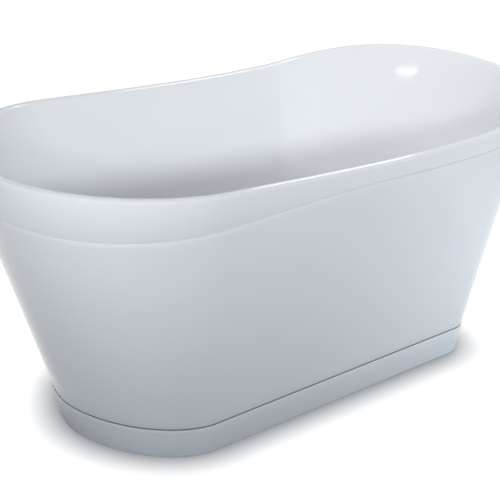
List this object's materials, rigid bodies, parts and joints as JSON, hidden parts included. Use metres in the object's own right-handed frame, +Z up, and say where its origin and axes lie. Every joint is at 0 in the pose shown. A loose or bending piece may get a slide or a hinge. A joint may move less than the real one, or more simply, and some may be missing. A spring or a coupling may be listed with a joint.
{
  "type": "bathtub",
  "caption": "Freestanding bathtub with a rolled rim, tapering skirt and plinth, levelling feet, waste with trap, and overflow with a turning knob.",
  "frame": {"origin": "on the floor, under the middle of the rim", "axes": "+X along the tub towards the backrest end, +Y across it, +Z up; the drain and overflow are at the -X end"},
  "size_m": [1.5, 0.844, 0.709],
  "materials": {
    "acrylic": "polished white sanitary acrylic",
    "dark_strip": "dark grey strip",
    "board": "raw chipboard",
    "zinc_steel": "zinc plated",
    "chrome": "polished chrome",
    "waste_plastic": "white polypropylene",
    "rubber": "black rubber",
    "cable_sheath": "black sheath"
  },
  "bodies": {
    "tub": {"basin": "acrylic", "skirt": "acrylic", "plinth": "acrylic", "shadow_gap_strip": "dark_strip", "rim_joint_bead": "acrylic", "floor_board": "board", "near_rail": "zinc_steel", "far_rail": "zinc_steel", "foot_cross_member": "zinc_steel", "middle_cross_member": "zinc_steel", "head_cross_member": "zinc_steel", "foot_plates": "zinc_steel", "frame_screws": "zinc_steel", "skirt_brackets": "zinc_steel", "skirt_screws": "zinc_steel", "drain_flange": "chrome", "flange_gasket": "rubber", "waste_gasket": "rubber", "waste_body": "waste_plastic", "trap_inlet_seal": "rubber", "trap_inlet_nut": "waste_plastic", "trap_body": "waste_plastic", "cleaning_cap": "waste_plastic", "outlet_seal": "rubber", "outlet_nut": "waste_plastic", "outlet_elbow": "waste_plastic", "overflow_plate": "chrome", "face_gasket": "rubber", "overflow_body": "waste_plastic", "back_gasket": "rubber", "overflow_screws": "zinc_steel", "overflow_pipe": "waste_plastic", "hose_clips": "zinc_steel", "control_cable": "cable_sheath"},
    "plug_body": {"plug": "chrome", "plug_seal": "rubber"},
    "knob_body": {"overflow_knob": "chrome"},
    "foot_1": {"pad_1": "rubber", "stud_1": "zinc_steel"},
    "nuts_1": {"adjuster_nut_1": "zinc_steel", "lock_nut_1": "zinc_steel"},
    "foot_2": {"pad_2": "rubber", "stud_2": "zinc_steel"},
    "nuts_2": {"adjuster_nut_2": "zinc_steel", "lock_nut_2": "zinc_steel"},
    "foot_3": {"pad_3": "rubber", "stud_3": "zinc_steel"},
    "nuts_3": {"adjuster_nut_3": "zinc_steel", "lock_nut_3": "zinc_steel"},
    "foot_4": {"pad_4": "rubber", "stud_4": "zinc_steel"},
    "nuts_4": {"adjuster_nut_4": "zinc_steel", "lock_nut_4": "zinc_steel"},
    "foot_5": {"pad_5": "rubber", "stud_5": "zinc_steel"},
    "nuts_5": {"adjuster_nut_5": "zinc_steel", "lock_nut_5": "zinc_steel"}
  },
  "joints": [
    {"name": "knob_turn", "type": "hinge", "parent": "tub", "child": "knob_body", "pos_m": [-0.65565, 0, 0.53], "axis": [-0.9187, 0, -0.395], "range_deg": [0, 90]},
    {"name": "plug_lift", "type": "slide", "parent": "tub", "child": "plug_body", "axis": [0, 0, 1], "range_m": [0, 0.009]},
    {"name": "nuts_1_turn", "type": "hinge", "parent": "tub", "child": "nuts_1", "pos_m": [-0.4, -0.182, 0.092], "axis": [0, 0, 1], "range_deg": [0, 5143]},
    {"name": "foot_1_height", "type": "slide", "parent": "tub", "child": "foot_1", "axis": [0, 0, -1], "range_m": [0, 0.025]},
    {"name": "nuts_2_turn", "type": "hinge", "parent": "tub", "child": "nuts_2", "pos_m": [-0.4, 0.182, 0.092], "axis": [0, 0, 1], "range_deg": [0, 5143]},
    {"name": "foot_2_height", "type": "slide", "parent": "tub", "child": "foot_2", "axis": [0, 0, -1], "range_m": [0, 0.025]},
    {"name": "nuts_3_turn", "type": "hinge", "parent": "tub", "child": "nuts_3", "pos_m": [0.37, -0.182, 0.092], "axis": [0, 0, 1], "range_deg": [0, 5143]},
    {"name": "foot_3_height", "type": "slide", "parent": "tub", "child": "foot_3", "axis": [0, 0, -1], "range_m": [0, 0.025]},
    {"name": "nuts_4_turn", "type": "hinge", "parent": "tub", "child": "nuts_4", "pos_m": [0.37, 0.182, 0.092], "axis": [0, 0, 1], "range_deg": [0, 5143]},
    {"name": "foot_4_height", "type": "slide", "parent": "tub", "child": "foot_4", "axis": [0, 0, -1], "range_m": [0, 0.025]},
    {"name": "nuts_5_turn", "type": "hinge", "parent": "tub", "child": "nuts_5", "pos_m": [0.142, 0, 0.092], "axis": [0, 0, 1], "range_deg": [0, 5143]},
    {"name": "foot_5_height", "type": "slide", "parent": "tub", "child": "foot_5", "axis": [0, 0, -1], "range_m": [0, 0.025]}
  ],
  "couplings": [
    {"joint": "plug_lift", "follows": "knob_turn", "m_per_rad": 0.0057295},
    {"joint": "nuts_1_turn", "follows": "foot_1_height", "rad_per_m": 3590.4},
    {"joint": "nuts_2_turn", "follows": "foot_2_height", "rad_per_m": 3590.4},
    {"joint": "nuts_3_turn", "follows": "foot_3_height", "rad_per_m": 3590.4},
    {"joint": "nuts_4_turn", "follows": "foot_4_height", "rad_per_m": 3590.4},
    {"joint": "nuts_5_turn", "follows": "foot_5_height", "rad_per_m": 3590.4}
  ]
}
